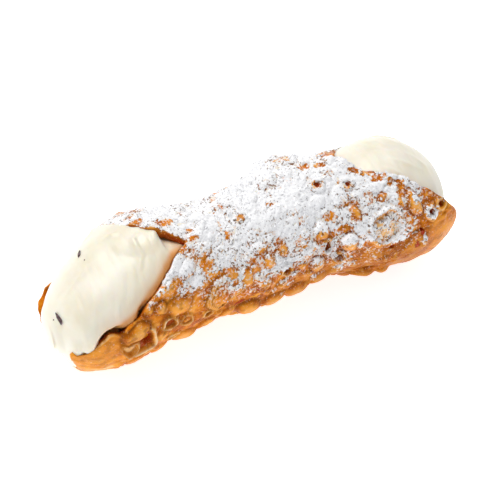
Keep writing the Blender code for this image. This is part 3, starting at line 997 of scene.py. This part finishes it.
def fill_with_cream():
    bm = bmesh.new()
    bmesh.ops.create_uvsphere(bm, u_segments=CREAM_CELLS[1], v_segments=CREAM_CELLS[0], radius=1.0)
    mesh = bpy.data.meshes.new("ricotta_cream")
    bm.to_mesh(mesh)
    bm.free()
    ball = np.empty(len(mesh.vertices) * 3)
    mesh.vertices.foreach_get("co", ball)
    x, y, z = ball.reshape(-1, 3).T
    left, right = CREAM_TOP[0][0], CREAM_TOP[-1][0]
    along = (left + right) / 2 + (right - left) / 2 * np.clip(z, -1, 1)
    along, turn, radius, mouth, painted_bounce = cream_surface(along, np.degrees(np.arctan2(y, x)))
    points = wrap(along, turn, radius)
    bare = np.maximum(ease(-4, 6, mouth), ease(-64.0, -66.4, along) + ease(61.0, 62.5, along))
    # The spatula left its waves everywhere but on the far side of the left dome.
    worked = 0.25 + 0.75 * np.maximum(ease(95, 65, turn), along > 0)
    swell = np.where(along < 0, 0.55, 0.35) * drift(points, 13.0, 11)
    swell = swell + 0.22 * worked * drift(points * (1, 0.4, 0.4), 3.2, 12)
    ridges = 0.17 * worked * drift(points * (1.0, 0.16, 0.16), 1.3, 13)
    marks = spatula_marks(along, turn)
    points = wrap(along, turn, radius + bare * (swell + ridges) * np.clip(radius / 8, 0, 1) + marks)
    points[:, 2] = np.maximum(points[:, 2], 1.5)
    place_points(mesh, points)
    # The painted bounce and shade near the dough, kept for the finish.
    keep_colour(mesh, "painted_bounce", (0.85 * painted_bounce, painted_bounce, painted_bounce))
    bm = bmesh.new()
    bm.from_mesh(mesh)
    if bm.calc_volume(signed=True) < 0:
        bmesh.ops.reverse_faces(bm, faces=bm.faces[:])
    bm.to_mesh(mesh)
    bm.free()
    return mesh


cream = finished_piece("ricotta_cream", fill_with_cream(), CREAM, "filling")

# %% [markdown]
# ## Chocolate in the cream
#
# Shavings of dark chocolate were stirred into the ricotta, and a few break its surface. Each is an
# angular sliver, from half a millimetre to 6 mm long. So it starts as a 20-sided ball whose corners
# are moved in and out by chance, is stretched to its length and width, and is pushed half into the
# cream. A film of cream and cocoa butter makes it greyer than black.

# %% Mix the chocolate
def dark_chocolate():
    material, shader = new_finish("dark_chocolate")
    place = node(material, "ShaderNodeTexCoord").outputs["Object"]
    break_up = node(material, "ShaderNodeTexNoise", {"Vector": place, "Scale": 1300.0, "Detail": 3.0,
                                                     "Roughness": 0.6})
    brown = node(material, "ShaderNodeValToRGB", {0: break_up.outputs[0]})
    set_stops(brown, ((0.35, "3a2527"), (0.52, "533c40"), (0.70, "84706f")))
    bump = node(material, "ShaderNodeBump", {"Height": break_up.outputs[0], "Strength": 0.4,
                                             "Distance": 0.0003})
    feed(material, shader, {
        "Base Color": brown.outputs[0],
        "Roughness": 0.42,
        "Normal": bump.outputs[0],
        "IOR": 1.36,
    })
    return material


CHOCOLATE = dark_chocolate()
print("finish:", CHOCOLATE.name)

# %% Push the shavings into the cream
# Along mm, direction degrees, length mm, width mm, lean degrees on the surface
SHAVINGS = (
    (-65.8, 28.4, 6.2, 1.9, 101), (-53.6, 108.0, 3.4, 1.4, 55), (-67.2, 24.0, 0.6, 0.5, 0),
    (-66.3, 30.5, 0.4, 0.3, 0), (-53.3, 93.0, 0.6, 0.5, 30), (-58.0, 174.0, 2.2, 0.9, 30),
    (-66.0, -130.0, 1.6, 0.8, 80), (-49.5, 170.0, 0.8, 0.6, 10), (59.5, 128.0, 2.4, 0.9, 60),
    (66.4, 190.0, 1.8, 0.9, 100), (63.0, 160.0, 0.9, 0.6, 10),
)


def shave_chocolate():
    surface = bmesh.new()
    surface.from_mesh(cream.data)
    tree = BVHTree.FromBMesh(surface)
    surface.free()
    whole = bmesh.new()
    for along, turn, length, width, lean in SHAVINGS:
        place = np.array([along]), np.array([turn])
        inner = Vector(wrap(*place, np.array([0.0]))[0] * MM)
        outer = Vector(wrap(*place, np.array([1.0]))[0] * MM)
        outward = (outer - inner).normalized()
        spot, normal, _, _ = tree.ray_cast(inner + outward * 0.06, -outward)
        side = (Vector((1, 0, 0)) - normal * normal.x).normalized()
        frame_of = Matrix((side, normal.cross(side), normal)).transposed().to_4x4()
        frame_of.translation = spot + normal * width * 0.12 * MM
        shape = Matrix.Diagonal((length * MM / 2, width * MM / 2, width * MM / 3, 1))
        made = bmesh.ops.create_icosphere(whole, subdivisions=1, radius=1.0)
        for vert in made["verts"]:
            vert.co *= chance.uniform(0.65, 1.25)
            vert.co.y *= 1.0 - 0.6 * abs(vert.co.x)
        laid = frame_of @ Matrix.Rotation(math.radians(lean), 4, "Z") @ shape
        bmesh.ops.transform(whole, matrix=laid, verts=made["verts"])
    mesh = bpy.data.meshes.new("chocolate_shavings")
    whole.to_mesh(mesh)
    whole.free()
    return mesh


slivers = shave_chocolate()
finished_piece("chocolate_shavings", slivers, CHOCOLATE, None, smooth=False)

# %% [markdown]
# ## Powdered sugar
#
# Powdered sugar is sucrose ground to dust with a little starch. It scatters light so well that it is
# whiter than the plate it falls on, and it is perfectly matt. It also cakes: a sifted layer is a drift
# of crumbs with pinholes between them. The layer here is two more grids over the dough, a fine one in
# front and on top and a coarser one behind. They are lifted by how much sugar lies at each place and
# pricked by noise, and every face that sinks under the dough is taken away. Loose lumps are scattered
# on them afterwards.


# %% Mix the sugar
def powdered_sugar():
    material, shader = new_finish("icing_sugar_powder")
    place = node(material, "ShaderNodeTexCoord").outputs["Object"]
    kept = node(material, "ShaderNodeAttribute", attribute_name="skin")
    cover = node(material, "ShaderNodeSeparateColor", {0: kept.outputs["Color"]}).outputs[2]
    cake = node(material, "ShaderNodeTexNoise", {"Vector": place, "Scale": 1400.0, "Detail": 4.0,
                                                 "Roughness": 0.7})
    # The layer is greyer where its bump pattern is low, which paints shade into the hollows between crumbs.
    white = node(material, "ShaderNodeValToRGB", {0: cake.outputs[0]})
    set_stops(white, ((0.32, "d6d5d8"), (0.45, "f4f4f6"), (0.56, "fcfcfd")))
    # Between the grains the dough shows through, darker and greyer where the layer is thick: painted shade in
    # the pinholes.
    through = node(material, "ShaderNodeValToRGB", {0: cover})
    set_stops(through, ((0.45, "9a5a1c"), (0.66, "68503a"), (1.0, "4d443d")))
    grains = sugar_grains(material, place, cover)
    seen = node(material, "ShaderNodeMix", {0: grains, 6: through.outputs[0], 7: white.outputs[0]},
                data_type="RGBA")
    bump = node(material, "ShaderNodeBump", {"Height": cake.outputs[0], "Strength": 0.6,
                                             "Distance": 0.0005})
    feed(material, shader, {
        "Base Color": seen.outputs[2],
        "Roughness": 0.95,
        "Normal": bump.outputs[0],
        "IOR": 1.5,
        "Specular IOR Level": 0.2,
    })
    return material


SUGAR = powdered_sugar()
print("finish:", SUGAR.name)


# %% Lay the sugar
def sugar_layer(name, cells, v_line):
    mesh, u, v = sheet_mesh(name, cells, v_line)
    points, told = skin(u, v)
    place_points(mesh, points)
    turn_outwards(mesh)
    out = normals_of(mesh)
    spot = told["spot"]
    cover = sugar_cover(told, out[:, 2])
    crumbs = 0.5 * drift(spot, 1.1, 14) + 0.5 * drift(spot, 0.55, 15)
    heaps = 0.25 * ease(0.1, 0.6, drift(spot, 3.0, 18)) * ease(0.3, 0.9, cover)
    thick = 0.28 * np.clip(cover - 0.1, -1, 1) + 0.4 * crumbs + heaps
    lift = np.clip(thick, -0.3, 0.8)
    points = points + out * lift[:, None]
    points[:, 2] = np.maximum(points[:, 2], 0.3)
    place_points(mesh, points)
    keep_colour(mesh, "skin", (0 * cover, 0 * cover, 0.5 + 0.5 * cover))
    bm = bmesh.new()
    bm.from_mesh(mesh)
    bm.verts.ensure_lookup_table()
    sunk = lift < -0.08
    gone = [face for face in bm.faces if all(sunk[vert.index] for vert in face.verts)]
    bmesh.ops.delete(bm, geom=gone, context="FACES")
    print(name, "faces kept:", len(bm.faces), "taken away:", len(gone))
    bm.to_mesh(mesh)
    bm.free()
    return mesh


def join_meshes(name, meshes):
    whole = bmesh.new()
    for mesh in meshes:
        whole.from_mesh(mesh)
    joined = bpy.data.meshes.new(name)
    whole.to_mesh(joined)
    whole.free()
    return joined


front = sugar_layer("sugar_front", (420, 200), ((0, 0.60), (1, 1)))
back = sugar_layer("sugar_back", (250, 105), ((0, 0), (1, 0.36)))
both = join_meshes("powdered_sugar", (front, back))
layer = finished_piece("powdered_sugar", both, SUGAR, None)

# %% [markdown]
# ## Lumps in the sugar
#
# A sieve drops sugar in crumbs as well as dust, and they show as small bright heaps on the layer. Each
# is a 20-sided ball squashed out of round, which is plenty at half a millimetre. They are all joined
# into one mesh, because thousands of separate objects would be slow and would not export.

# %% Scatter the lumps
LUMPS = 2400
BATCH = 40  # lumps made at a time, since a large mesh slows every new ball


def scatter_lumps():
    layer_mesh = layer.data
    places = np.empty(len(layer_mesh.vertices) * 3)
    layer_mesh.vertices.foreach_get("co", places)
    places = places.reshape(-1, 3)
    kept = np.empty(len(layer_mesh.vertices) * 4, np.float32)
    layer_mesh.color_attributes["skin"].data.foreach_get("color", kept)
    cover = kept.reshape(-1, 4)[:, 2]
    heaps = drift(places / MM, 4.0, 21)
    odds = np.clip(cover - 0.35, 0, 1) * np.clip(0.25 + 2.2 * heaps, 0.03, 2)
    picked = chance.choice(len(places), LUMPS, p=odds / odds.sum())
    batches = []
    for first in range(0, LUMPS, BATCH):
        batch = bmesh.new()
        for index in picked[first : first + BATCH]:
            size = chance.uniform(0.11, 0.2) + 0.24 * chance.random() ** 3
            made = bmesh.ops.create_icosphere(batch, subdivisions=1, radius=size * MM)
            squash = Vector(chance.uniform(0.7, 1.25, 3))
            where = Vector(places[index]) + Vector(chance.uniform(-0.15, 0.15, 3)) * MM
            for vert in made["verts"]:
                vert.co = vert.co * squash * chance.uniform(0.85, 1.15) + where
        batches.append(bpy.data.meshes.new("sugar_batch"))
        batch.to_mesh(batches[-1])
        batch.free()
    mesh = join_meshes("sugar_lumps", batches)
    keep_colour(mesh, "skin", (0, 0, 1))
    return mesh


finished_piece("sugar_lumps", scatter_lumps(), SUGAR, None)

# %% [markdown]
# ## Floor, light and camera
#
# A pastry like this is shown on a pale table under a large soft light from above and a little behind,
# which is what makes the sugar glow and leaves the lower front warmer and darker.

# %% Floor
floor_bm = bmesh.new()
bmesh.ops.create_grid(floor_bm, x_segments=2, y_segments=2, size=2.5)
floor_mesh = bpy.data.meshes.new("pale_table")
floor_bm.to_mesh(floor_mesh)
floor_bm.free()
table_finish, table_shader = new_finish("white_painted_board")
feed(table_finish, table_shader, {"Base Color": linear("fafafa"), "Roughness": 0.9, "Specular IOR Level": 0.1,
                                  "Emission Color": (0.89, 0.93, 1.0, 1), "Emission Strength": 0.79})
floor_mesh.materials.append(table_finish)
floor = bpy.data.objects.new("pale_table", floor_mesh)
bpy.context.scene.collection.objects.link(floor)

# %% Light
def soft_light(name, place, aim, size, watts):
    lamp = bpy.data.lights.new(name, "AREA")
    lamp.shape = "DISK"
    lamp.size = size
    lamp.energy = watts
    light = bpy.data.objects.new(name, lamp)
    light.location = place
    light.rotation_euler = (Vector(aim) - Vector(place)).to_track_quat("-Z", "Y").to_euler()
    bpy.context.scene.collection.objects.link(light)


soft_light("overhead", (-0.14, 0.30, 0.93), (0, 0, 0.02), 0.5, 7.3)
soft_light("front_fill", (-0.8, -0.7, 0.55), (0, 0, 0.02), 0.8, 0.7)
world = bpy.data.worlds.new("studio")
world.use_nodes = True
world.node_tree.nodes["Background"].inputs["Color"].default_value = (1, 1, 1, 1)
world.node_tree.nodes["Background"].inputs["Strength"].default_value = 0.39
bpy.context.scene.world = world
bpy.context.scene.view_settings.view_transform = "Standard"

# %% Camera
AZIMUTH, ELEVATION, DISTANCE = math.radians(-25), math.radians(45), 0.5
level = math.cos(ELEVATION)
back_of_camera = Vector((math.sin(AZIMUTH) * level, -math.cos(AZIMUTH) * level, math.sin(ELEVATION)))
right_of_camera = Vector((math.cos(AZIMUTH), math.sin(AZIMUTH), 0))
up_of_camera = back_of_camera.cross(right_of_camera)
# The pastry stands a little right of the middle of the frame, and a little below it.
aim = Vector(TUBE_MIDDLE * MM) - right_of_camera * 0.0022 + up_of_camera * 0.0014
camera_data = bpy.data.cameras.new("camera")
camera_data.lens = 118.9
camera_data.sensor_width = 36
camera_data.clip_start = 0.01
camera = bpy.data.objects.new("camera", camera_data)
camera.location = aim + back_of_camera * DISTANCE
camera.rotation_euler = (-back_of_camera).to_track_quat("-Z", "Y").to_euler()
bpy.context.scene.collection.objects.link(camera)
bpy.context.scene.camera = camera
